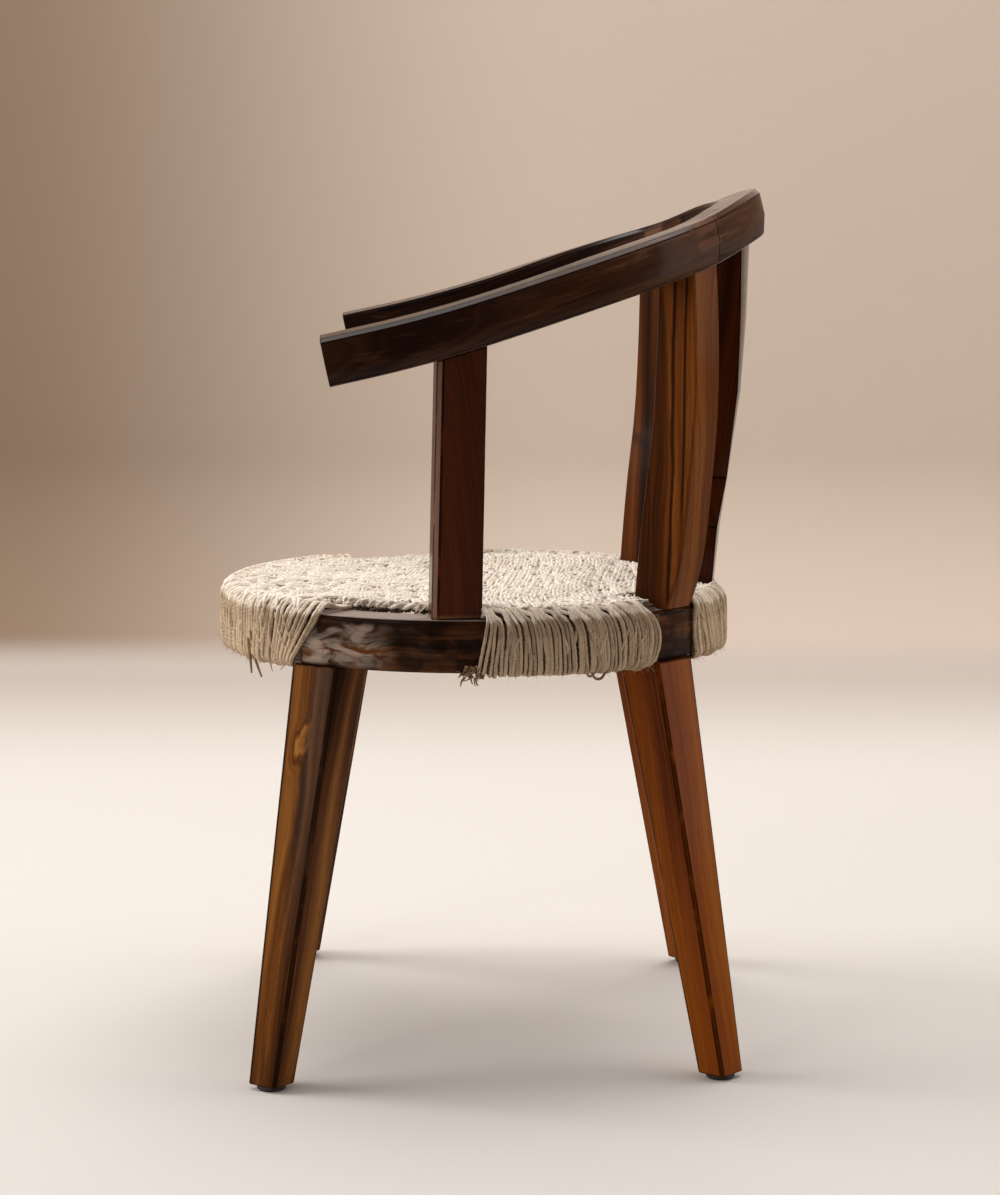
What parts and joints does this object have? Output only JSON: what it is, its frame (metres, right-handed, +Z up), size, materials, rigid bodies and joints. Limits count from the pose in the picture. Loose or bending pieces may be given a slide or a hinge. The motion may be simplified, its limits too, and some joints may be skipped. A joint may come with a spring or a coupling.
{
  "type": "armchair",
  "caption": "Low-backed wooden armchair with a round cord-wound and woven seat, splayed tapered legs, a rising horseshoe arm rail, curved rear posts and a waisted back splat",
  "frame": {"origin": "on the floor, under the middle of the chair's overall width and depth", "axes": "+Z up; the sitter looks along -Y; +X is the sitter's left side; mirror symmetric about X = 0"},
  "size_m": [0.5702, 0.5349, 0.8301],
  "materials": {
    "dark_wood": "glossy varnished dark hardwood with orange-brown and near-black figure",
    "natural_cord": "matt undyed twisted plant-fibre cord, wound and woven",
    "dark_rubber": "dark worn pad",
    "dowel_wood": "bare turned hardwood, hidden in the joints",
    "nail_steel": "plain steel, flat head"
  },
  "bodies": {
    "root": {"arm_left": "dark_wood", "arm_post_left": "dark_wood", "arm_post_right": "dark_wood", "arm_right": "dark_wood", "back_splat": "dark_wood", "cord_wrap_front": "natural_cord", "cord_wrap_rear_left": "natural_cord", "cord_wrap_rear_right": "natural_cord", "cord_wrap_side_left": "natural_cord", "cord_wrap_side_right": "natural_cord", "crest_rail": "dark_wood", "glide_front_left": "dark_rubber", "glide_front_right": "dark_rubber", "glide_nails": "nail_steel", "glide_rear_left": "dark_rubber", "glide_rear_right": "dark_rubber", "leg_front_left": "dark_wood", "leg_front_right": "dark_wood", "leg_rear_left": "dark_wood", "leg_rear_right": "dark_wood", "rail_dowels": "dowel_wood", "rear_post_left": "dark_wood", "rear_post_right": "dark_wood", "ring_back": "dark_wood", "ring_dowels": "dowel_wood", "ring_front_left": "dark_wood", "ring_front_right": "dark_wood", "ring_rear_left": "dark_wood", "ring_rear_right": "dark_wood", "woven_seat": "natural_cord"}
  },
  "joints": []
}
